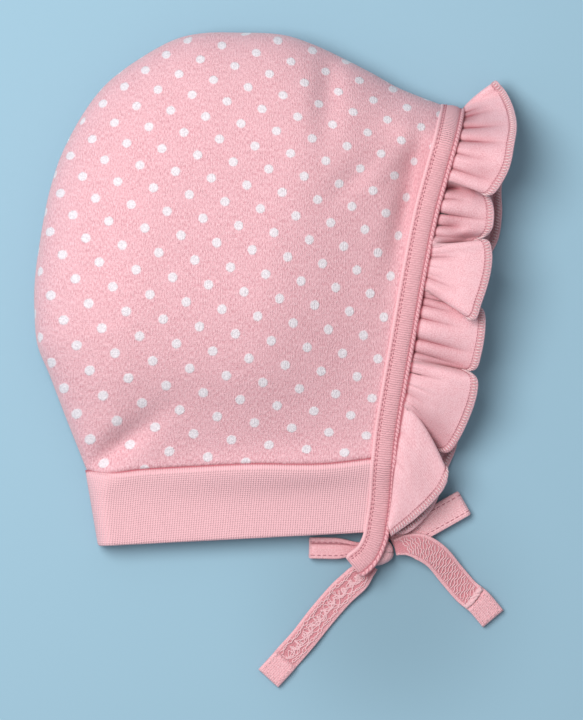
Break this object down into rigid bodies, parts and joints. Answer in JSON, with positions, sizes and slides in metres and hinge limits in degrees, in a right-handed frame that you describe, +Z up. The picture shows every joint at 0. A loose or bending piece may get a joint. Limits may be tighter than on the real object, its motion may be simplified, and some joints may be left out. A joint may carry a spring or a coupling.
{
  "type": "baby bonnet",
  "caption": "Soft jersey baby bonnet lying on its side, with a domed crown, ribbed neck band, bound face edge, gathered ruffle and tied straps.",
  "frame": {"origin": "on the flat underside of the lower crown panel, below the middle of the picture", "axes": "+Z up from the surface it lies on, +Y to the top of the head, +X towards the face opening"},
  "size_m": [0.1786, 0.243, 0.0407],
  "materials": {
    "dotted_jersey": "pale pink interlock jersey with small round white dots",
    "rib_knit": "pale pink fine double rib",
    "binding_jersey": "pale pink jersey, folded and topstitched",
    "ruffle_jersey": "pale pink smooth jersey",
    "strap_jersey": "pale pink jersey strap with looper stitching"
  },
  "bodies": {
    "root": {"crown_upper": "dotted_jersey", "crown_lower": "dotted_jersey", "neck_band": "rib_knit", "face_binding": "binding_jersey", "face_ruffle": "ruffle_jersey", "tie_knot": "strap_jersey", "bow_loop_left": "strap_jersey", "bow_loop_right": "strap_jersey", "tie_tail_left": "strap_jersey", "tie_tail_right": "strap_jersey"}
  },
  "joints": []
}
